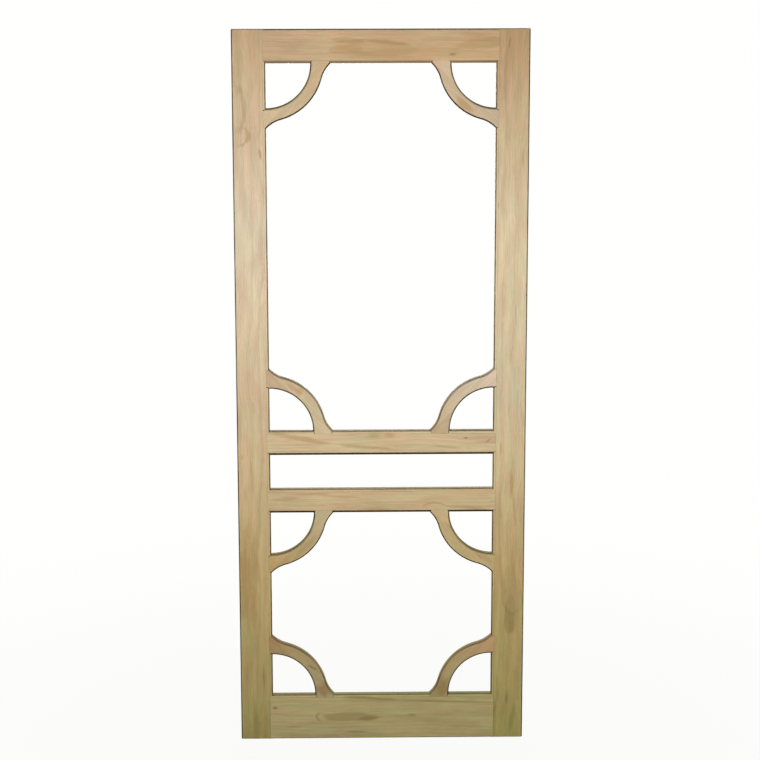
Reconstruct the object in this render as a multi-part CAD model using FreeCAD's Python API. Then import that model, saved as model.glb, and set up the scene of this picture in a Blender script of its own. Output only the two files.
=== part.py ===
import FreeCAD, Part
import math
import os

# Wooden screen door leaf, in millimetres.
# X runs from the hinge edge to the latch edge, Y from front to back, Z up from the bottom edge.

# Overall leaf
door_width = 812.8
door_height = 2032.0
door_thickness = 25.4

# Stiles and rails
stile_width = 92.1
top_rail_height = 92.1
mid_rail_height = 69.85
mid_rail_gap = 98.4
lower_light_height = 542.9
bottom_rail_height = 133.4

# Moulding worked on every edge that faces an opening, on both faces: a small step, then a bevel
bevel_width = 8.0
bevel_step = 0.6
bevel_depth = 2.0

# Rounding of the long outer corners of the stiles
arris_radius = 2.5

# Stub tenons on the rails and their blind mortises in the stiles
tenon_length = 50.0
tenon_thickness = 8.5
tenon_shoulder = 14.0
mortise_side_clearance = 0.15
mortise_end_clearance = 1.0

# Curved corner brackets, concentric with the corner of the opening
bracket_inner_radius = 122.0
bracket_width = 36.5
bracket_flare_radius = 90.0
bracket_reach = 177.8

# Heights of the rail edges above the bottom of the door
bottom_rail_top = bottom_rail_height
lower_mid_rail_bottom = bottom_rail_top + lower_light_height
lower_mid_rail_top = lower_mid_rail_bottom + mid_rail_height
upper_mid_rail_bottom = lower_mid_rail_top + mid_rail_gap
upper_mid_rail_top = upper_mid_rail_bottom + mid_rail_height
top_rail_bottom = door_height - top_rail_height

# Sides of the openings, and half of the thickness about the middle plane
opening_left = stile_width
opening_right = door_width - stile_width
half_thickness = door_thickness / 2
bracket_outer_radius = bracket_inner_radius + bracket_width

# Distances from the middle plane to the foot of the step and to the lowest line of the bevel
step_half = half_thickness - bevel_step
land_half = half_thickness - bevel_depth


def vector(x, y, z):
    return FreeCAD.Vector(x, y, z)


def prism(points, sweep):
    outline = Part.makePolygon(points + points[:1])
    return Part.Face(outline).extrude(sweep)


def stile_blank():
    # left stile without its mortises: bevelled towards the opening, rounded at the outer edge
    bevel_start = stile_width - bevel_width
    section = [
        vector(0, -half_thickness, 0),
        vector(bevel_start, -half_thickness, 0),
        vector(bevel_start, -step_half, 0),
        vector(stile_width, -land_half, 0),
        vector(stile_width, land_half, 0),
        vector(bevel_start, step_half, 0),
        vector(bevel_start, half_thickness, 0),
        vector(0, half_thickness, 0),
    ]
    blank = prism(section, vector(0, 0, door_height))
    long_edges = [e for e in blank.Edges if e.BoundBox.ZLength > door_height / 2]
    outer_edges = [e for e in long_edges if e.CenterOfMass.x < stile_width / 2]
    return blank.makeFillet(arris_radius, outer_edges)


def across(shape):
    # the same shape on the other side of the door
    return shape.mirror(vector(door_width / 2, 0, 0), vector(1, 0, 0))


def rail_blank(bottom, top, bevel_bottom, bevel_top):
    # full section of a rail, long enough to run into both stiles, moulded on the edges named
    run_in = stile_width - tenon_length

    def edge(level, inward, moulded):
        # the section's points along one edge, from the front face to the back face
        if not moulded:
            return [vector(run_in, -half_thickness, level), vector(run_in, half_thickness, level)]
        start = level + inward * bevel_width
        return [
            vector(run_in, -half_thickness, start),
            vector(run_in, -step_half, start),
            vector(run_in, -land_half, level),
            vector(run_in, land_half, level),
            vector(run_in, step_half, start),
            vector(run_in, half_thickness, start),
        ]

    section = edge(bottom, 1, bevel_bottom) + edge(top, -1, bevel_top)[::-1]
    return prism(section, vector(door_width - 2 * run_in, 0, 0))


def tenon_bar(bottom, top, side_clearance, end_clearance):
    # one bar through the rail whose two ends are its tenons, or the same bar grown to cut the mortises
    length = door_width - 2 * (stile_width - tenon_length) + 2 * end_clearance
    thickness = tenon_thickness + 2 * side_clearance
    height = top - bottom - 2 * tenon_shoulder + 2 * side_clearance
    corner = vector(
        stile_width - tenon_length - end_clearance,
        -thickness / 2,
        bottom + tenon_shoulder - side_clearance,
    )
    return Part.makeBox(length, thickness, height, corner)


def polar(radius, angle):
    return radius * math.cos(angle), radius * math.sin(angle)


def bracket_outline(corner_x, corner_z, side, rise):
    # side and rise are +1 or -1: the way from the corner of the frame into the opening
    def place(x, z):
        return vector(corner_x + side * x, -half_thickness, corner_z + rise * z)

    # hollow arc that leaves the outer curve at a tangent and runs out to the foot
    flare_distance = bracket_outer_radius + bracket_flare_radius
    tangent_angle = math.acos(
        (bracket_outer_radius * (flare_distance + bracket_flare_radius) + bracket_reach**2)
        / (2 * bracket_reach * flare_distance)
    )
    flare_x, flare_z = polar(flare_distance, tangent_angle)
    foot_angle = math.atan2(flare_z, flare_x - bracket_reach)
    hollow_x, hollow_z = polar(bracket_flare_radius, (tangent_angle + foot_angle) / 2)
    flare_middle = (flare_x - hollow_x, flare_z - hollow_z)
    tangent = polar(bracket_outer_radius, tangent_angle)

    # the bracket is the same on both sides of its diagonal, so its upper end swaps x and z
    inner_foot = place(bracket_inner_radius, 0)
    inner_head = place(0, bracket_inner_radius)
    outer_foot = place(bracket_reach, 0)
    outer_head = place(0, bracket_reach)
    foot_lap = [place(bracket_inner_radius, -bevel_width), place(bracket_reach, -bevel_width)]
    head_lap = [place(-bevel_width, bracket_reach), place(-bevel_width, bracket_inner_radius)]
    inner_crown = place(*polar(bracket_inner_radius, math.pi / 4))
    outer_crown = place(*polar(bracket_outer_radius, math.pi / 4))
    tangent_foot = place(*tangent)
    tangent_head = place(*reversed(tangent))
    return Part.Wire([
        Part.makePolygon([outer_head] + head_lap + [inner_head]),
        Part.Arc(inner_head, inner_crown, inner_foot).toShape(),
        Part.makePolygon([inner_foot] + foot_lap + [outer_foot]),
        Part.Arc(outer_foot, place(*flare_middle), tangent_foot).toShape(),
        Part.Arc(tangent_foot, outer_crown, tangent_head).toShape(),
        Part.Arc(tangent_head, place(*reversed(flare_middle)), outer_head).toShape(),
    ])


def bracket(corner_x, corner_z, side, rise, stile, rail):
    # the ends lap over the bevels of the stile and the rail and are scribed to them
    outline = bracket_outline(corner_x, corner_z, side, rise)
    slab = Part.Face(outline).extrude(vector(0, door_thickness, 0))
    return slab.cut(stile).cut(rail)


left_blank = stile_blank()
right_blank = across(left_blank)
blank_on = {"left": left_blank, "right": right_blank}

# name: lower edge, upper edge, bevel on the lower edge, bevel on the upper edge
rail_edges = {
    "top_rail": (top_rail_bottom, door_height, True, False),
    "upper_mid_rail": (upper_mid_rail_bottom, upper_mid_rail_top, True, True),
    "lower_mid_rail": (lower_mid_rail_bottom, lower_mid_rail_top, True, True),
    "bottom_rail": (0, bottom_rail_top, False, True),
}

parts = {}
rail_blanks = {}
mortises = []
for name, (bottom, top, bevel_bottom, bevel_top) in rail_edges.items():
    rail_blanks[name] = rail_blank(bottom, top, bevel_bottom, bevel_top)
    between = rail_blanks[name].cut(left_blank).cut(right_blank)
    parts[name] = between.fuse(tenon_bar(bottom, top, 0, 0)).removeSplitter()
    mortises.append(tenon_bar(bottom, top, mortise_side_clearance, mortise_end_clearance))

for hand, blank in blank_on.items():
    parts[hand + "_stile"] = blank.cut(Part.makeCompound(mortises))

# opening: rail at its head and the level it meets, rail at its sill and the level it meets
lights = {
    "upper_light": ("top_rail", top_rail_bottom, "upper_mid_rail", upper_mid_rail_top),
    "lower_light": ("lower_mid_rail", lower_mid_rail_bottom, "bottom_rail", bottom_rail_top),
}
sides = {"left": (opening_left, 1), "right": (opening_right, -1)}

for light, (head, head_level, sill, sill_level) in lights.items():
    for hand, (corner_x, side) in sides.items():
        parts[light + "_top_" + hand + "_bracket"] = bracket(
            corner_x, head_level, side, -1, blank_on[hand], rail_blanks[head]
        )
        parts[light + "_bottom_" + hand + "_bracket"] = bracket(
            corner_x, sill_level, side, 1, blank_on[hand], rail_blanks[sill]
        )

os.makedirs("parts", exist_ok=True)
for name, shape in parts.items():
    solid = shape.Solids[0]
    solid.exportStep("parts/" + name + ".step")
    print(name, len(shape.Solids), "solid", round(solid.Volume), "mm3", "valid" if solid.isValid() else "broken")
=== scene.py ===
import bpy
import bmesh
import math
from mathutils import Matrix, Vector


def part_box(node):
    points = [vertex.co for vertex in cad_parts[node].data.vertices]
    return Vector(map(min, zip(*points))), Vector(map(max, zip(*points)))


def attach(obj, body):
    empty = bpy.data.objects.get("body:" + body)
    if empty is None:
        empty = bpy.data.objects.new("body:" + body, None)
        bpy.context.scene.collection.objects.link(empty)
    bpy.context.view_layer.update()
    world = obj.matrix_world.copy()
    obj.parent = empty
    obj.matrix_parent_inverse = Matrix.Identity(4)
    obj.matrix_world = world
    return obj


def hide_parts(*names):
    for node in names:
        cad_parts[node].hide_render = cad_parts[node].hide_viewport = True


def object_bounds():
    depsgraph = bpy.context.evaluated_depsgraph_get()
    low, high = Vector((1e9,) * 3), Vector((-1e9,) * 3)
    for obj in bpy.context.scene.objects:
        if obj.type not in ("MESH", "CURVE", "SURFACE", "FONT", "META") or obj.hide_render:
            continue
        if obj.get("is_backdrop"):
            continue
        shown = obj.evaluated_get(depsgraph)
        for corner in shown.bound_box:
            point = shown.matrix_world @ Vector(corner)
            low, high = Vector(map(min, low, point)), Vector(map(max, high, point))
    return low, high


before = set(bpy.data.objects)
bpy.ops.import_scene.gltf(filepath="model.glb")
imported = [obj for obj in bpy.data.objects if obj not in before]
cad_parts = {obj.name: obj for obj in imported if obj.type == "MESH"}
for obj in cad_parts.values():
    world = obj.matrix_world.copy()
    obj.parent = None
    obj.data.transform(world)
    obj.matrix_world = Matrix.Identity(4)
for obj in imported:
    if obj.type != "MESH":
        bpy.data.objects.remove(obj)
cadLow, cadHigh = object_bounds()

print("frame loaded:", len(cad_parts), "boards")

mm = 0.001
tiny = 0.01 * mm  # places closer than this are the same place
longEdge = 200 * mm  # an edge longer than this runs along its board
smoothAngle = math.radians(40)  # edges sharper than this stay crisp
middleX = (cadLow.x + cadHigh.x) / 2
halfThick = (cadHigh.y - cadLow.y) / 2

# moulding run along every edge that looks into an opening, on both faces
moulding = dict(width=8.0 * mm, step=0.6 * mm, depth=2.0 * mm, run=0.15 * mm)
landHalf = halfThick - moulding["depth"]

# arrises rounded by hand: the radius of each, and the flats that make its round
sanding = dict(
    stile=(3.5 * mm, 4), outer=(5.5 * mm, 6), ends=(1.5 * mm, 2), shoulder=(0.2 * mm, 2),
    rail=(3.5 * mm, 5), under=(7 * mm, 5), bracket=(6.35 * mm, 4),
)
seam = 0.3 * mm  # fine line left open where two boards meet


def startBoard(name, low, high):
    bpy.ops.object.select_all(action="DESELECT")
    bpy.ops.mesh.primitive_cube_add(size=1, location=(low + high) / 2, scale=high - low)
    bpy.ops.object.transform_apply(location=True, rotation=True, scale=True)
    board = bpy.context.active_object
    board.name = name
    return board


def choose(board):
    bpy.ops.object.select_all(action="DESELECT")
    board.select_set(True)
    bpy.context.view_layer.objects.active = board


def copyBoard(board, name):
    choose(board)
    bpy.ops.object.duplicate(linked=False)
    twin = bpy.context.active_object
    twin.name = name
    return twin


def pick(board, kind, test):
    # selects the points or edges that pass a test of their place
    bpy.ops.mesh.select_mode(type=kind)
    bpy.ops.mesh.select_all(action="DESELECT")
    shape = bmesh.from_edit_mesh(board.data)
    for item in {"VERT": shape.verts, "EDGE": shape.edges}[kind]:
        if test(item):
            item.select_set(True)
    bmesh.update_edit_mesh(board.data)


def mouldEdge(board, axis, edge, inward):
    # axis 0 works the side of a stile, axis 2 the edge of a rail
    across = Vector((1, 0, 0)) if axis == 0 else Vector((0, 0, 1))
    start = edge + inward * moulding["width"]
    lowered = start - inward * moulding["run"]
    choose(board)
    bpy.ops.object.mode_set(mode="EDIT")
    for cut in (start, lowered):
        bpy.ops.mesh.select_all(action="SELECT")
        bpy.ops.mesh.bisect(plane_co=across * cut, plane_no=across)
    for face in (-1, 1):
        pick(board, "VERT", lambda p: (p.co[axis] - lowered) * inward < tiny and p.co.y * face > 0)
        bpy.ops.transform.translate(value=(0, -face * moulding["step"], 0))
        pick(board, "VERT", lambda p: abs(p.co[axis] - edge) < tiny and p.co.y * face > 0)
        bpy.ops.transform.translate(value=(0, -face * (moulding["depth"] - moulding["step"]), 0))
    bpy.ops.object.mode_set(mode="OBJECT")


def sandEdges(board, arris, test):
    radius, flats = sanding[arris]
    choose(board)
    bpy.ops.object.mode_set(mode="EDIT")
    pick(board, "EDGE", lambda e: test(e.verts[0].co, e.verts[1].co))
    bpy.ops.mesh.bevel(offset=radius, segments=flats, affect="EDGES")
    bpy.ops.object.mode_set(mode="OBJECT")


def alongBoard(axis, place, height):
    # tests for the long edges at one place across the board and one height on its faces
    def onLine(point):
        return abs(point[2 - axis] - place) < tiny and abs(abs(point.y) - height) < tiny

    def test(a, b):
        return onLine(a) and onLine(b) and abs(a[axis] - b[axis]) > longEdge

    return test


def turnOver(board, flip, shift=(0, 0, 0), about=(0, 0, 0)):
    # mirrors a board in place, then moves it
    choose(board)
    bpy.ops.object.mode_set(mode="EDIT")
    bpy.ops.mesh.select_all(action="SELECT")
    bpy.ops.transform.resize(value=flip, center_override=about)
    bpy.ops.transform.translate(value=shift)
    bpy.ops.mesh.normals_make_consistent(inside=False)
    bpy.ops.object.mode_set(mode="OBJECT")


def scribe(board, cutter):
    choose(board)
    fit = board.modifiers.new("scribe", "BOOLEAN")
    fit.operation = "DIFFERENCE"
    fit.solver = "EXACT"
    fit.object = cutter
    bpy.ops.object.modifier_apply(modifier=fit.name)
    bpy.ops.object.mode_set(mode="EDIT")
    bpy.ops.mesh.select_all(action="SELECT")
    bpy.ops.mesh.remove_doubles(threshold=tiny)  # slivers left by the cut
    bpy.ops.object.mode_set(mode="OBJECT")


def hexColour(code):
    # sRGB hex to the linear colour that shaders take
    parts = [int(code[i:i + 2], 16) / 255 for i in (1, 3, 5)]
    return [c / 12.92 if c <= 0.04045 else ((c + 0.055) / 1.055) ** 2.4 for c in parts] + [1]


def addNode(tree, kind, sockets, out=0, stops=(), **options):
    # adds a node, sets its options and sockets, and gives back one of its outputs
    # a pair of keys takes a pair of values: in a Map Range 1 and 2 are the span read, 3 and 4 the span given
    node = tree.nodes.new("ShaderNode" + kind)
    for option, value in options.items():
        setattr(node, option, value)
    for keys, values in sockets.items():
        pairs = zip(keys, values) if isinstance(keys, tuple) else [(keys, values)]
        for key, value in pairs:
            if isinstance(value, bpy.types.NodeSocket):
                tree.links.new(value, node.inputs[key])
            else:
                node.inputs[key].default_value = value
    for i, (position, code) in enumerate(stops):
        points = node.color_ramp.elements
        point = points[i] if i < len(points) else points.new(position)
        point.position = position
        point.color = hexColour(code)
    return node.outputs[out] if len(node.outputs) else node


# planed pine: sawn, planed and hand sanded, with no varnish on it
# that gives soft growth rings, fibres and tinted bands along the board and little shine; its arrises and
# ledges are darkened with painted shade
pine = dict(
    pale=(1.05, 1.05, 1.07), dark=(0.89, 0.83, 0.73),  # early and late wood, as shares of the board's tone
    rosy=(1.02, 0.935, 0.955), ledgeShade=(0.46, 0.49, 0.38),  # shares of the tone in rosy bands, and on ledges as painted shade
    arrisShade="#3E3220",  # painted shade on the rounded arrises
    rough=(0.74, 0.62), shine=0.1,  # open early wood, closer late wood, and the level of the highlights
    relief=0.2 * mm, bump=0.35, ridge=0.6,  # height of the fibres, how far it shows, late wood's share
)

# growth: cycles of good and poor years, each read from 0 to 1, and in them single rings
growth = dict(
    sway=(100, 300),  # mm across and along the trunk from bend to bend
    swayNoise={"Scale": 1, "Detail": 2.5, "Roughness": 0.5},
    drift={"Scale": 0.6, "Detail": 1}, uneven=1.4,  # how the cycles change their width, and by how much
    rise=(0.15, 0.88), fall=(1, 0.9),  # a cycle darkens slowly and stops short
    weakest=0.3,  # share of the contrast that the palest cycle has
    year=4.2, summer=(0.3, 0.96), share=0.55,  # mm of one ring, where it darkens, its share of the contrast
)
noiseMiddle = (0.5, 0.5, 0.5)

# layers of the grain in mm across and along it, all drawn coarser than the real ones so that they show
layers = dict(
    fibre=(1.0, 70), streak=(7, 95), band=(28, 150), tint=(26, 115), fleck=(1.1, 34), tear=(14, 80),
)
layerNoise = {"Scale": 1, "Detail": 2, "Roughness": 0.55}
layerShift = Vector((7.3, 0, 0))  # each layer reads the noise in another place
layerStart = Vector((0, 2.1, 4.4))
rosySpan = (0.4, 0.6)  # noise over which a band turns rosy

# gains in tone: for a layer the noise read, and the gain that it gives
gains = dict(
    fibre=((0.3, 0.7), (0.91, 1.08)), streak=((0.3, 0.7), (0.965, 1.035)),
    band=((0.3, 0.7), (0.9, 1.08)), fleck=((0.62, 0.72), (1, 0.86)),
)

# marks of the figure: the shares of their half size between which they fade, and how ragged their rim is
marks = dict(
    patch=dict(fade=(1.1, 0.35), rag=0.6),  # soft streaks and pin knots
    flame=dict(fade=(1.06, 0.7), rag=0.5),
    tongue=dict(fade=(1.04, 0.84), rag=0.26),  # flames with a clear rim
    hook=dict(fade=(0.21, 0.03), rag=0.24),  # a ring line, open on one side
)
ragged = ((0.3, 0.7), (-0.5, 0.5))  # the noise read, and how far it pulls a rim in or out
hookEnds = (0.2, 0.9)  # way across a hook over which its line comes in
through = 1000  # marks run straight through the board

# painted shade by how a surface lies, and darker end grain: facing is 1 on the faces and 0 on the edges,
# upward 1 on ledges and -1 beneath
shadeAndEndGrain = dict(
    face=(0.88, 0.975), edge=(0.3, 0.08),  # facing at which a round ends
    tear=(0.35, 0.65), patchy=(0.76, 1),  # noise read, and the share of painted shade that it leaves on a round
    above=(0.1, 0.5), below=(-0.2, -0.3), ledge=(0.2, 0.8),  # upward
    depth=(4 * mm, 12 * mm), edgeSideShade=(0.08, 0.6),  # way from the middle of an edge, and the painted shade there
    endOn=(0.6, 0.95), endGain=(1, 0.78),  # end grain is darker
)


def perMetre(across, along):
    return (1 / (across * mm), 1 / (across * mm), 1 / (along * mm))


def growRings(tree, trunk, look):
    # gives the share of late wood, from the way to the pith
    level = addNode(tree, "VectorMath", {0: trunk, 1: (1, 1, 0)}, operation="MULTIPLY")
    radius = addNode(tree, "VectorMath", {0: level}, out="Value", operation="LENGTH")
    cycles = addNode(tree, "Math", {0: radius, 1: look["ring"] * mm}, operation="DIVIDE")
    drift = addNode(tree, "TexNoise", {"W": cycles, **growth["drift"]}, noise_dimensions="1D")
    uneven = addNode(tree, "Math", {0: drift, 1: growth["uneven"], 2: cycles}, operation="MULTIPLY_ADD")
    phase = addNode(tree, "Math", {0: uneven}, operation="FRACT")
    rising = addNode(tree, "MapRange", {0: phase, (1, 2): growth["rise"]}, interpolation_type="SMOOTHSTEP")
    falling = addNode(tree, "MapRange", {0: phase, (1, 2): growth["fall"]}, interpolation_type="SMOOTHSTEP")
    swell = addNode(tree, "Math", {0: rising, 1: falling}, operation="MULTIPLY")
    number = addNode(tree, "Math", {0: uneven}, operation="FLOOR")
    vigour = addNode(tree, "TexWhiteNoise", {"W": number}, noise_dimensions="1D")
    contrast = (growth["weakest"] * look["contrast"], look["contrast"])
    strength = addNode(tree, "MapRange", {0: vigour, (3, 4): contrast})
    late = addNode(tree, "Math", {0: swell, 1: strength}, operation="MULTIPLY")

    # single rings that darken into summer and stop at the year's end
    perCycle = look["ring"] / growth["year"]
    count = addNode(tree, "Math", {0: cycles, 1: perCycle, 2: drift}, operation="MULTIPLY_ADD")
    season = addNode(tree, "Math", {0: count}, operation="FRACT")
    summer = addNode(tree, "MapRange", {
        0: season, (1, 2): growth["summer"], 4: growth["share"] * look["contrast"],
    }, interpolation_type="SMOOTHSTEP")
    return addNode(tree, "Math", {0: late, 1: summer}, operation="ADD")


def layGrain(tree, trunk):
    # gives the noise of each layer
    grains = {}
    for layer, size in layers.items():
        stretched = addNode(tree, "VectorMath", {0: trunk, 1: perMetre(*size)}, operation="MULTIPLY")
        shift = layerStart + layerShift * len(grains)
        apart = addNode(tree, "VectorMath", {0: stretched, 1: shift}, operation="ADD")
        grains[layer] = addNode(tree, "TexNoise", {"Vector": apart, **layerNoise})
    return grains


def tintWood(tree, grains, wood):
    # rosy bands, then fibres, bands of tone and resin flecks
    rosy = addNode(tree, "VectorMath", {0: wood, 1: pine["rosy"]}, operation="MULTIPLY")
    share = addNode(tree, "MapRange", {0: grains["tint"], (1, 2): rosySpan}, interpolation_type="SMOOTHSTEP")
    wood = addNode(tree, "Mix", {0: share, 6: wood, 7: rosy}, out=2, data_type="RGBA")
    for layer, (read, given) in gains.items():
        gain = addNode(tree, "MapRange", {0: grains[layer], (1, 2): read, (3, 4): given})
        wood = addNode(tree, "VectorMath", {0: wood, "Scale": gain}, operation="SCALE")
    return wood


def drawFigure(tree, place, tear, figure, wood):
    # the marks of one board, ragged along the grain
    read, given = ragged
    pull = addNode(tree, "MapRange", {0: tear, (1, 2): read, (3, 4): given})
    for shape, (x, z), (halfX, halfZ), tilt, share, code in figure:
        mark = marks[shape]
        spot = addNode(tree, "Mapping", {
            "Vector": place, "Location": (x * mm, 0, z * mm), "Rotation": (0, -math.radians(tilt), 0),
            "Scale": (halfX * mm, through, halfZ * mm),
        }, vector_type="TEXTURE")
        away = addNode(tree, "VectorMath", {0: spot}, out="Value", operation="LENGTH")
        away = addNode(tree, "Math", {0: pull, 1: mark["rag"], 2: away}, operation="MULTIPLY_ADD")
        if shape == "hook":
            away = addNode(tree, "Math", {0: away, 1: 1}, operation="SUBTRACT")
            away = addNode(tree, "Math", {0: away}, operation="ABSOLUTE")
            ahead = addNode(tree, "SeparateXYZ", {0: spot}, out=0)
            share = addNode(tree, "MapRange", {
                0: ahead, (1, 2): hookEnds, 4: share,
            }, interpolation_type="SMOOTHSTEP")
        mask = addNode(tree, "MapRange", {
            0: away, (1, 2): mark["fade"], 4: share,
        }, interpolation_type="SMOOTHSTEP")
        wood = addNode(tree, "Mix", {0: mask, 6: wood, 7: hexColour(code)}, out=2, data_type="RGBA")
    return wood


def paintShadeAndEndGrain(tree, place, turn, tear, look, wood):
    # painted shade on the rounds, deeper below by as much as drip says, less above as crest says, and on the
    # sides of an edge near its arrises
    normal = addNode(tree, "NewGeometry", {}, out="Normal")
    upward = addNode(tree, "SeparateXYZ", {0: normal}, out=2)
    facing = addNode(tree, "SeparateXYZ", {0: normal}, out=1)
    facing = addNode(tree, "Math", {0: facing}, operation="ABSOLUTE")
    onFace = addNode(tree, "MapRange", {0: facing, (1, 2): shadeAndEndGrain["face"]}, interpolation_type="SMOOTHSTEP")
    onEdge = addNode(tree, "MapRange", {0: facing, (1, 2): shadeAndEndGrain["edge"]}, interpolation_type="SMOOTHSTEP")
    flat = addNode(tree, "Math", {0: onFace, 1: onEdge}, operation="MAXIMUM")
    patchy = addNode(tree, "MapRange", {0: tear, (1, 2): shadeAndEndGrain["tear"], (3, 4): shadeAndEndGrain["patchy"]})
    rounds = addNode(tree, "MapRange", {0: flat, (3, 4): (patchy, 0)})
    # painted shade beneath: the lower rounds darken by as much as drip says
    below = addNode(tree, "MapRange", {0: upward, (1, 2): shadeAndEndGrain["below"]})
    shadeBelow = addNode(tree, "MapRange", {0: onEdge, (3, 4): (look["shadeBelow"], 0)})
    rounds = addNode(tree, "Mix", {0: below, 2: rounds, 3: shadeBelow}, data_type="FLOAT")
    depth = addNode(tree, "SeparateXYZ", {0: place}, out=1)
    depth = addNode(tree, "Math", {0: depth}, operation="ABSOLUTE")
    edgeSideShade = addNode(tree, "MapRange", {
        0: depth, (1, 2): shadeAndEndGrain["depth"], (3, 4): shadeAndEndGrain["edgeSideShade"],
    }, interpolation_type="SMOOTHSTEP")
    sides = addNode(tree, "Math", {0: onEdge, 1: edgeSideShade}, operation="MULTIPLY")
    paintedShade = addNode(tree, "Math", {0: rounds, 1: sides}, operation="MAXIMUM")
    shadeKeptAbove = addNode(tree, "MapRange", {0: upward, (1, 2): shadeAndEndGrain["above"], (3, 4): (1, look["crest"])})
    paintedShade = addNode(tree, "Math", {0: paintedShade, 1: shadeKeptAbove}, operation="MULTIPLY")
    # the dark colour goes on as painted shade along the arrises and the sides of the edges
    wood = addNode(tree, "Mix", {0: paintedShade, 6: wood, 7: hexColour(pine["arrisShade"])}, out=2, data_type="RGBA")

    # end grain darker than the faces, and painted shade on the ledges
    lie = addNode(tree, "Mapping", {"Vector": normal, "Rotation": turn}, vector_type="TEXTURE")
    endOn = addNode(tree, "SeparateXYZ", {0: lie}, out=2)
    endOn = addNode(tree, "Math", {0: endOn}, operation="ABSOLUTE")
    endGain = addNode(tree, "MapRange", {0: endOn, (1, 2): shadeAndEndGrain["endOn"], (3, 4): shadeAndEndGrain["endGain"]})
    wood = addNode(tree, "VectorMath", {0: wood, "Scale": endGain}, operation="SCALE")
    ledge = addNode(tree, "MapRange", {0: upward, (1, 2): shadeAndEndGrain["ledge"]}, interpolation_type="SMOOTHSTEP")
    # top faces darkened: painted shade on the ledges
    shadedLedge = addNode(tree, "VectorMath", {0: wood, 1: pine["ledgeShade"]}, operation="MULTIPLY")
    return addNode(tree, "Mix", {0: ledge, 6: wood, 7: shadedLedge}, out=2, data_type="RGBA")


def pineMaterial(name, look, low, high):
    material = bpy.data.materials.new(name)
    material.use_nodes = True
    tree = material.node_tree
    tree.nodes.clear()
    place = addNode(tree, "TexCoord", {}, out="Object")

    # the board's place in the trunk: z along the grain, x across the face, the pith beside and behind
    grain = math.radians(look["grain"])
    beside, behind = look["pith"]
    leanBack, leanAside = look["lean"]
    pith = (low + high) / 2 + Vector((math.cos(grain) * beside, behind, -math.sin(grain) * beside)) * mm
    turn = (math.radians(leanBack), grain + math.radians(leanAside), 0)
    trunk = addNode(tree, "Mapping", {
        "Vector": place, "Location": pith, "Rotation": turn,
    }, vector_type="TEXTURE")

    # the trunk wanders a little on its way up
    slow = addNode(tree, "VectorMath", {0: trunk, 1: perMetre(*growth["sway"])}, operation="MULTIPLY")
    wander = addNode(tree, "TexNoise", {"Vector": slow, **growth["swayNoise"]}, out="Color")
    sway = addNode(tree, "VectorMath", {0: wander, 1: noiseMiddle}, operation="SUBTRACT")
    amount = look["wander"] * mm
    bent = addNode(tree, "VectorMath", {0: sway, 1: (amount, amount, 0), 2: trunk}, operation="MULTIPLY_ADD")

    # mean tone from one end of the grain to the other, paler and darker in the rings; low on the door the
    # tones are darker, partly the boards' own colour and partly painted shade
    size = high - low
    half = (abs(math.sin(grain)) * size.x + abs(math.cos(grain)) * size.z) / 2
    along = addNode(tree, "SeparateXYZ", {0: trunk}, out=2)
    share = addNode(tree, "MapRange", {0: along, (1, 2): (-half, half)})
    last = len(look["tones"]) - 1
    stops = [(i / last, code) for i, code in enumerate(look["tones"])]
    ground = addNode(tree, "ValToRGB", {0: share}, stops=stops)
    pale = addNode(tree, "VectorMath", {0: ground, 1: pine["pale"]}, operation="MULTIPLY")
    dark = addNode(tree, "VectorMath", {0: ground, 1: pine["dark"]}, operation="MULTIPLY")
    late = growRings(tree, bent, look)
    wood = addNode(tree, "Mix", {0: late, 6: pale, 7: dark}, out=2, data_type="RGBA")

    grains = layGrain(tree, bent)
    wood = tintWood(tree, grains, wood)
    wood = drawFigure(tree, place, grains["tear"], look["figure"], wood)
    wood = paintShadeAndEndGrain(tree, place, turn, grains["tear"], look, wood)
    rough = addNode(tree, "MapRange", {0: late, (3, 4): pine["rough"]})
    height = addNode(tree, "Math", {0: late, 1: pine["ridge"], 2: grains["fibre"]}, operation="MULTIPLY_ADD")
    bump = addNode(tree, "Bump", {"Height": height, "Strength": pine["bump"], "Distance": pine["relief"]})
    surface = addNode(tree, "BsdfPrincipled", {
        "Base Color": wood, "Roughness": rough, "Normal": bump, "Specular IOR Level": pine["shine"],
    })
    addNode(tree, "OutputMaterial", {"Surface": surface})
    return material


def finishBoard(board, node, look):
    # smooth rounds, pine from this board's own place in the trunk, and the node that it stands for
    choose(board)
    bpy.ops.object.shade_smooth_by_angle(angle=smoothAngle)
    even = board.modifiers.new("even", "WEIGHTED_NORMAL")
    even.keep_sharp = True
    bpy.ops.object.modifier_apply(modifier=even.name)
    low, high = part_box(node)
    board.data.materials.clear()
    board.data.materials.append(pineMaterial("planed pine " + node.replace("_", " "), look, low, high))
    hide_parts(node)
    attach(board, "root")


# in each board's dictionary: grain is the way of the grain, pith the way to the pith from the middle of the
# board in mm, lean how far the pith is off the grain, wander how far the trunk sways in mm, ring the width
# of a cycle of years in mm, drip and crest how dark the painted shade on the lower and the upper arrises is,
# tones run along the grain, and each mark of the figure has its shape, its place and half sizes in mm across
# and up, its tilt, its share and its tone
upright, lying, diagonal = 0, 90, 45  # ways of the grain, in degrees from upright
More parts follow.
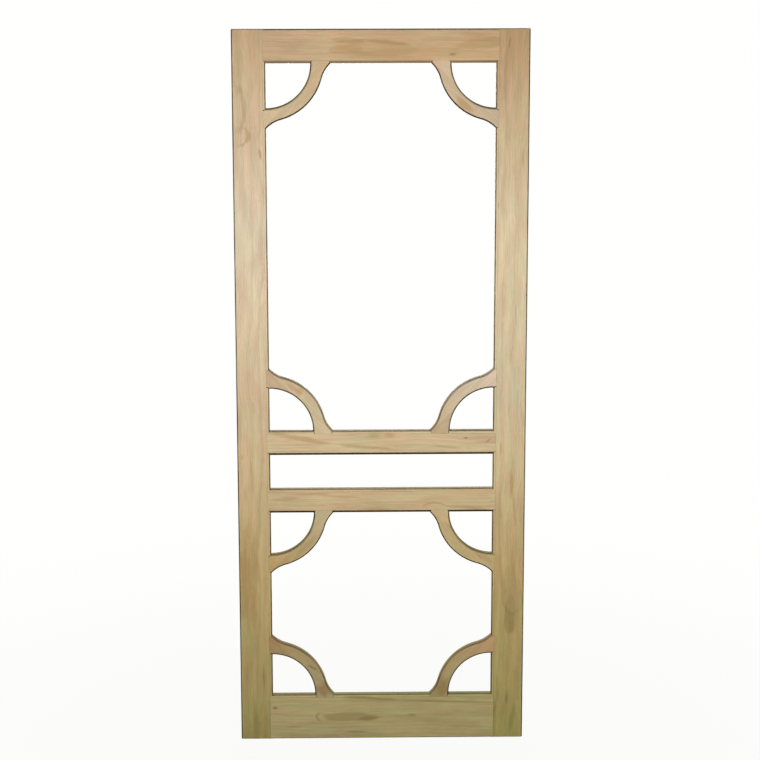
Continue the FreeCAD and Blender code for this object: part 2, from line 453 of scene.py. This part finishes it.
# the stiles' tones, from foot to head, darken towards the foot and a little at the head: partly the boards'
# own colour and partly painted shade
leftStileLook = dict(
    grain=upright, pith=(-70, 62), lean=(0.7, 0.4), wander=44, ring=19, contrast=0.5, shadeBelow=0.8, crest=1,
    tones=["#BCB16F", "#D6C088", "#D9C59F", "#E0D2B2", "#D4B88F"],
    figure=[
        ("hook", (-15, 1818), (50, 72), 0, 0.34, "#A07F50"),
        ("hook", (4, 1747), (39, 31), -14, 0.4, "#A07F50"),
        ("patch", (75, 1695), (3, 14), 10, 0.6, "#A5835A"),
        ("flame", (24, 458), (36, 124), 0, 0.24, "#AE8448"),
        ("patch", (24, 530), (40, 200), 0, 0.26, "#AE8448"),
        ("patch", (67, 188), (4, 45), 0, 0.5, "#A87F4C"),
        ("patch", (44, 56), (16, 60), 0, 0.3, "#8F8048"),
        ("patch", (13, 839), (7, 12), 0, 0.5, "#C89A80"),
    ],
)
rightStileLook = dict(
    grain=upright, pith=(64, 64), lean=(-0.7, -0.45), wander=44, ring=19, contrast=0.5, shadeBelow=0.8, crest=1,
    tones=["#BFB76E", "#D1B980", "#DBCDA6", "#DBCBA6", "#C4A87C"],
    figure=[
        ("patch", (756, 1994), (3, 22), -8, 0.6, "#9C7C56"),
        ("patch", (795, 1684), (4, 30), 0, 0.4, "#C08F5C"),
        ("patch", (730, 1552), (3, 14), 0, 0.5, "#A98C62"),
        ("patch", (781, 1244), (3, 40), 3, 0.4, "#BFA286"),
        ("patch", (743, 863), (3, 24), 0, 0.45, "#A58A5C"),
        ("patch", (774, 765), (6, 52), 2, 0.6, "#CC9664"),
        ("patch", (783, 680), (5, 60), 4, 0.4, "#C4935C"),
        ("flame", (777, 425), (27, 104), 2, 0.2, "#8E7440"),
        ("tongue", (773, 372), (17, 62), -3, 0.24, "#806A38"),
        ("tongue", (781, 414), (31, 45), 0, 0.16, "#806A38"),
        ("tongue", (782, 419), (26, 38), 0, 0.34, "#D2B684"),
        ("patch", (767, 119), (5, 22), 0, 0.4, "#84733C"),
        ("patch", (781, 55), (11, 52), -10, 0.34, "#84733C"),
        ("patch", (731, 70), (7, 80), 0, 0.36, "#84733C"),
    ],
)

stileLow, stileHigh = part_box("left_stile")
openLeft = stileHigh.x
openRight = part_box("right_stile")[0].x
shoulder = openLeft - moulding["width"]


def atEnds(a, b):
    return any(abs(a.z - end) < tiny and abs(b.z - end) < tiny for end in (stileLow.z, stileHigh.z))


leftCutter = startBoard("leftCutter", stileLow, stileHigh)  # sharp twin, for scribing the rails
mouldEdge(leftCutter, 0, openLeft, -1)
leftStile = startBoard("leftStile", stileLow, stileHigh)
sandEdges(leftStile, "outer", alongBoard(2, stileLow.x, halfThick))
sandEdges(leftStile, "ends", atEnds)
mouldEdge(leftStile, 0, openLeft, -1)
sandEdges(leftStile, "stile", alongBoard(2, openLeft, landHalf))
sandEdges(leftStile, "shoulder", alongBoard(2, shoulder, halfThick))

rightStile = copyBoard(leftStile, "rightStile")
rightCutter = copyBoard(leftCutter, "rightCutter")
for board in (rightStile, rightCutter):
    turnOver(board, (-1, 1, 1), about=(middleX, 0, 0))
finishBoard(leftStile, "left_stile", leftStileLook)
finishBoard(rightStile, "right_stile", rightStileLook)
print("stiles moulded")

# rails: lower and upper say which of their edges look into an opening
topRail = dict(
    lower=True, upper=False,
    grain=lying, pith=(60, 75), lean=(0.6, 0.4), wander=20, ring=9.0, contrast=0.42, shadeBelow=0.62, crest=1,
    tones=["#D3B992", "#D0B386"],
    figure=[
        ("tongue", (392, 1982), (120, 25), -3, 0.3, "#B98C54"),
        ("tongue", (312, 1977), (50, 15), 0, 0.3, "#B98C54"),
        ("tongue", (318, 2002), (50, 9), -5, 0.34, "#AC8A50"),
        ("flame", (480, 1966), (170, 14), 1, 0.2, "#B8935C"),
        ("patch", (424, 1996), (98, 5), -6, 0.45, "#A98A52"),
        ("flame", (690, 1994), (82, 15), 4, 0.32, "#B08A54"),
        ("patch", (601, 1964), (12, 4), 0, 0.6, "#9A774C"),
    ],
)
upperMidRail = dict(
    lower=True, upper=True,
    grain=lying, pith=(-55, 60), lean=(-0.5, 0.5), wander=20, ring=9.0, contrast=0.5, shadeBelow=1, crest=0.4,
    tones=["#DAC89E", "#D2BF96"],
    figure=[
        ("patch", (179, 893), (100, 9), -10, 0.62, "#BE9A66"),
        ("patch", (352, 869), (112, 6), -6, 0.55, "#B99961"),
        ("patch", (180, 857), (90, 3.5), 0, 0.45, "#C29E6E"),
        ("patch", (387, 902), (24, 10), 0, 0.5, "#ACA662"),
        ("patch", (427, 902), (21, 9), -3, 0.6, "#C49A64"),
        ("patch", (590, 867), (45, 4), -6, 0.45, "#BC9C6A"),
        ("patch", (644, 893), (9, 3.5), 0, 0.8, "#8C6A44"),
        ("patch", (706, 884), (12, 3), 35, 0.6, "#A68660"),
    ],
)
lowerMidRail = dict(
    lower=True, upper=True,
    grain=lying, pith=(60, 60), lean=(0.4, -0.3), wander=20, ring=9.0, contrast=0.5, shadeBelow=1, crest=0.4,
    tones=["#D4BF94", "#DBC799"],
    figure=[
        ("patch", (195, 732), (80, 4), 1, 0.6, "#C29A78"),
        ("patch", (300, 724), (70, 3.5), -3, 0.5, "#C29A78"),
        ("patch", (135, 718), (45, 6), 3, 0.36, "#B39468"),
        ("patch", (388, 687), (78, 7), 0, 0.55, "#BE9760"),
        ("hook", (556, 684), (20, 38), 90, 0.45, "#B08E5C"),
        ("patch", (650, 691), (66, 7), -5, 0.45, "#B8925C"),
    ],
)
# its darker olive tones are partly its own colour and partly painted shade low on the door
bottomRail = dict(
    lower=False, upper=True,
    grain=lying, pith=(-80, 90), lean=(0.4, 0.2), wander=20, ring=10.0, contrast=0.42, shadeBelow=0.8, crest=0.4,
    tones=["#D0C28C", "#CCC186"],
    figure=[
        ("patch", (372, 122), (95, 6), -4, 0.5, "#95803F"),
        ("patch", (590, 111), (140, 4), -2, 0.5, "#97804A"),
        ("flame", (322, 66), (78, 15), 0, 0.42, "#A0804A"),
        ("patch", (368, 60), (30, 10), 0, 0.3, "#836838"),
        ("hook", (242, 67), (24, 13), 180, 0.45, "#8A7040"),
        ("patch", (98, 94), (8, 5), 0, 0.55, "#6E5A34"),
        ("patch", (493, 70), (14, 6), 0, 0.36, "#8D7442"),
        ("patch", (151, 36), (30, 3), 0, 0.4, "#8C8044"),
        ("patch", (336, 19), (45, 3), -2, 0.4, "#8C8044"),
    ],
)
rails = {
    "top_rail": topRail, "upper_mid_rail": upperMidRail,
    "lower_mid_rail": lowerMidRail, "bottom_rail": bottomRail,
}
railBoards = {}
for node, look in rails.items():
    low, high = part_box(node)
    low.x = shoulder + seam
    high.x = 2 * middleX - low.x
    rail = startBoard(node + "Board", low, high)
    edges = ((low.z, 1, look["lower"]), (high.z, -1, look["upper"]))
    for edge, inward, opens in edges:
        if opens:
            mouldEdge(rail, 2, edge, inward)
    for edge, inward, opens in edges:
        arris = "under" if opens and inward > 0 else "rail"  # rounder below, where rain drips off
        sandEdges(rail, arris, alongBoard(0, edge, landHalf if opens else halfThick))
        if opens:
            start = edge + inward * moulding["width"]
            sandEdges(rail, "shoulder", alongBoard(0, start, halfThick))
    scribe(rail, leftCutter)
    scribe(rail, rightCutter)
    finishBoard(rail, node, look)
    railBoards[node] = rail
print("rails scribed to the stiles")

# one bracket, its corner at the origin and its arms along +X and +Z
bracketShape = dict(inner=122.0 * mm, outer=158.5 * mm, flare=90.0 * mm, reach=177.8 * mm)
bracketFlats = dict(inner=40, outer=34, flare=14)  # straight pieces in each arc
inner, outer = bracketShape["inner"], bracketShape["outer"]
flare, reach = bracketShape["flare"], bracketShape["reach"]
lap = moulding["width"] - seam  # its ends lie over the mouldings
apart = outer + flare  # from the corner to the centre of a flare
leave = math.acos((outer * (apart + flare) + reach ** 2) / (2 * reach * apart))  # where flare and arc meet
flareFoot = Vector((apart * math.cos(leave), 0, apart * math.sin(leave)))
flareHead = Vector((flareFoot.z, 0, flareFoot.x))
flareTurn = math.pi + leave - math.atan2(-flareFoot.z, reach - flareFoot.x)
flareTurn = (flareTurn + math.pi) % (2 * math.pi) - math.pi


def sweep(centre, turn, flats):
    # carries the last point round a centre, X towards Z
    bpy.ops.mesh.spin(steps=flats, angle=turn, center=centre, axis=(0, 1, 0))


def draw(x, z):
    # draws a straight line on from the last point
    bpy.ops.mesh.extrude_vertices_move(TRANSFORM_OT_translate={"value": (x, 0, z)})


bpy.ops.object.select_all(action="DESELECT")
bpy.ops.mesh.primitive_plane_add(size=mm, location=(reach, -halfThick, 0))
bpy.ops.object.transform_apply(location=True, rotation=True, scale=True)
pattern = bpy.context.active_object
pattern.name = "bracketPattern"
bpy.ops.object.mode_set(mode="EDIT")
bpy.ops.mesh.select_mode(type="VERT")
bpy.ops.mesh.select_all(action="SELECT")
bpy.ops.mesh.merge(type="CENTER")  # one point, to draw the outline from
sweep(flareFoot, flareTurn, bracketFlats["flare"])
sweep((0, 0, 0), math.pi / 2 - 2 * leave, bracketFlats["outer"])
sweep(flareHead, flareTurn, bracketFlats["flare"])
draw(-lap, 0)
draw(0, inner - reach)
draw(lap, 0)
sweep((0, 0, 0), -math.pi / 2, bracketFlats["inner"])
draw(0, -lap)
draw(reach - inner, 0)
draw(0, lap)
bpy.ops.mesh.select_all(action="SELECT")
bpy.ops.mesh.remove_doubles(threshold=tiny)
bpy.ops.mesh.edge_face_add()
bpy.ops.mesh.extrude_region_move(TRANSFORM_OT_translate={"value": (0, 2 * halfThick, 0)})
bpy.ops.mesh.select_all(action="SELECT")
bpy.ops.mesh.normals_make_consistent(inside=False)
bpy.ops.object.mode_set(mode="OBJECT")


def bracketArris(a, b):
    # the edges of both faces, apart from those of the laps
    onFace = abs(a.y - b.y) < tiny
    onLap = (a.x < -lap / 2 and b.x < -lap / 2) or (a.z < -lap / 2 and b.z < -lap / 2)
    return onFace and not onLap


sandEdges(pattern, "bracket", bracketArris)

# brackets: the wood that they share, and each one's own tones, from its left end to its right end
bracketGrain = dict(pith=(40, 80), lean=(2, 0), wander=20, ring=10.0, contrast=0.32, shadeBelow=1, crest=0.4)
bracketWood = {
    "upper_light_top_left": dict(tones=["#D8C19B", "#D2BD94"], figure=[]),
    "upper_light_top_right": dict(tones=["#DCC19E", "#CBBD9B"], figure=[
        ("patch", (632, 1827), (34, 14), -42, 0.6, "#BC9458"),
    ]),
    "upper_light_bottom_left": dict(tones=["#CDB18E", "#D5CAA1"], figure=[
        ("patch", (178, 1030), (13, 11), -45, 0.6, "#C59C5A"),
        ("patch", (156, 1041), (22, 8), -36, 0.5, "#BE9878"),
    ]),
    "upper_light_bottom_right": dict(tones=["#C8AE88", "#DED1B6"], figure=[]),
    "lower_light_top_left": dict(tones=["#D2AF74", "#CFC69B"], figure=[
        ("patch", (190, 575), (45, 14), 45, 0.45, "#B89F68"),
    ]),
    "lower_light_top_right": dict(tones=["#D7BC8C", "#D3C48B"], figure=[
        ("patch", (685, 546), (24, 5), -45, 0.5, "#B98C5C"),
        ("patch", (706, 540), (26, 9), -45, 0.5, "#C89A70"),
        ("patch", (600, 634), (30, 3), -45, 0.5, "#A98A54"),
    ]),
    "lower_light_bottom_left": dict(tones=["#C39E6D", "#C7C18F"], figure=[
        ("patch", (239, 150), (28, 28), 0, 0.6, "#A87F50"),
        ("patch", (208, 216), (16, 4), -30, 0.5, "#8A7040"),
    ]),
    "lower_light_bottom_right": dict(tones=["#BEB17B", "#D7B686"], figure=[
        ("patch", (576, 158), (26, 34), 0, 0.6, "#A88652"),
    ]),
}
heads = {"upper_light": "top_rail", "lower_light": "lower_mid_rail"}
sills = {"upper_light": "upper_mid_rail", "lower_light": "bottom_rail"}
for key, look in bracketWood.items():
    light, end, hand = key.rsplit("_", 2)
    atTop = end == "top"
    atLeft = hand == "left"
    rail = heads[light] if atTop else sills[light]
    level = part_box(rail)[0].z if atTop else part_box(rail)[1].z
    rise = -1 if atTop else 1
    side = 1 if atLeft else -1
    look.update(bracketGrain, grain=lying + diagonal * side * rise)
    node = key + "_bracket"
    bracket = copyBoard(pattern, node + "Board")
    turnOver(bracket, (side, 1, rise), shift=(openLeft if atLeft else openRight, 0, level))
    scribe(bracket, leftStile if atLeft else rightStile)
    scribe(bracket, railBoards[rail])
    finishBoard(bracket, node, look)
print("brackets scribed into their corners")

for spare in (pattern, leftCutter, rightCutter):
    bpy.data.objects.remove(spare)

# stage: a white floor that fades into the white surround, and keeps a soft shadow
surround = dict(white="#FFFFFE", light=0.17)  # what the camera sees, and how much of it falls on the door
floorLook = dict(
    radius=6, sides=96, drop=0.5 * mm, paint="#B0B0AE",
    fade=(0.4, 2.4), white=(0.94, 1),  # metres from the door, and the share of plain white there
)
bpy.ops.object.select_all(action="DESELECT")
bpy.ops.mesh.primitive_circle_add(
    vertices=floorLook["sides"], radius=floorLook["radius"], fill_type="NGON",
    location=(middleX, 0, -floorLook["drop"]),
)
floor = bpy.context.active_object
floor.name = "floor"
floorMaterial = bpy.data.materials.new("matt white studio floor")
floorMaterial.use_nodes = True
tree = floorMaterial.node_tree
tree.nodes.clear()
spot = addNode(tree, "TexCoord", {}, out="Object")
distance = addNode(tree, "VectorMath", {0: spot}, out="Value", operation="LENGTH")
fade = addNode(tree, "MapRange", {
    0: distance, (1, 2): floorLook["fade"], (3, 4): floorLook["white"],
}, interpolation_type="SMOOTHSTEP")
cameraRay = addNode(tree, "LightPath", {}, out="Is Camera Ray")
glow = addNode(tree, "Math", {0: fade, 1: cameraRay}, operation="MULTIPLY")
matt = addNode(tree, "BsdfDiffuse", {"Color": hexColour(floorLook["paint"])})
white = addNode(tree, "Emission", {"Color": hexColour(surround["white"]), "Strength": 1})
blend = addNode(tree, "MixShader", {0: glow, 1: matt, 2: white})
addNode(tree, "OutputMaterial", {"Surface": blend})
floor.data.materials.append(floorMaterial)
floor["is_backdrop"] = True

world = bpy.data.worlds.new("white surround")
bpy.context.scene.world = world
world.use_nodes = True
tree = world.node_tree
tree.nodes.clear()
path = addNode(tree, "LightPath", {}).node.outputs
seen = addNode(tree, "Math", {0: path["Is Camera Ray"], 1: path["Is Glossy Ray"]}, operation="MAXIMUM")
seen = addNode(tree, "Math", {0: seen, 1: path["Is Transmission Ray"]}, operation="MAXIMUM")
strength = addNode(tree, "MapRange", {0: seen, (3, 4): (surround["light"], 1)})
sky = addNode(tree, "Background", {"Color": hexColour(surround["white"]), "Strength": strength})
addNode(tree, "OutputWorld", {"Surface": sky})

# a soft box before the door at chest height, one behind it, and weaker ones at both sides and above
softBoxes = {
    "frontBox": dict(place=(middleX, -1.6, 1.45), turn=(90, 0, 0), power=22, width=0.8, height=0.8),
    "backBox": dict(place=(middleX, 2.2, 1.4), turn=(-90, 0, 0), power=38, width=0.8, height=0.8),
    "leftBox": dict(place=(-2.2, 0, 1.1), turn=(0, -90, 0), power=20, width=1.4, height=0.6),
    "rightBox": dict(place=(3.0, 0, 1.1), turn=(0, 90, 0), power=20, width=1.4, height=0.6),
    "topBox": dict(place=(middleX, 0, 4.2), turn=(0, 0, 0), power=8, width=0.8, height=0.6),
}
for name, box in softBoxes.items():
    turn = [math.radians(a) for a in box["turn"]]
    bpy.ops.object.light_add(type="AREA", location=box["place"], rotation=turn)
    lamp = bpy.context.active_object
    lamp.name = name
    lamp.data.shape = "RECTANGLE"
    lamp.data.energy = box["power"]
    lamp.data.size = box["width"]
    lamp.data.size_y = box["height"]
    lamp.visible_camera = False

# a long lens above the head of the door, tilted down a little
view = dict(place=(0.3009, -6.0, 2.3412), turn=(77.933, 0.092, -0.991), lens=103.68, sensor=36)
bpy.ops.object.camera_add(location=view["place"], rotation=[math.radians(a) for a in view["turn"]])
camera = bpy.context.active_object
camera.data.lens = view["lens"]
camera.data.sensor_width = view["sensor"]
bpy.context.scene.camera = camera
bpy.context.scene.view_settings.view_transform = "Standard"
print("stage, light and camera set")

low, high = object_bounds()
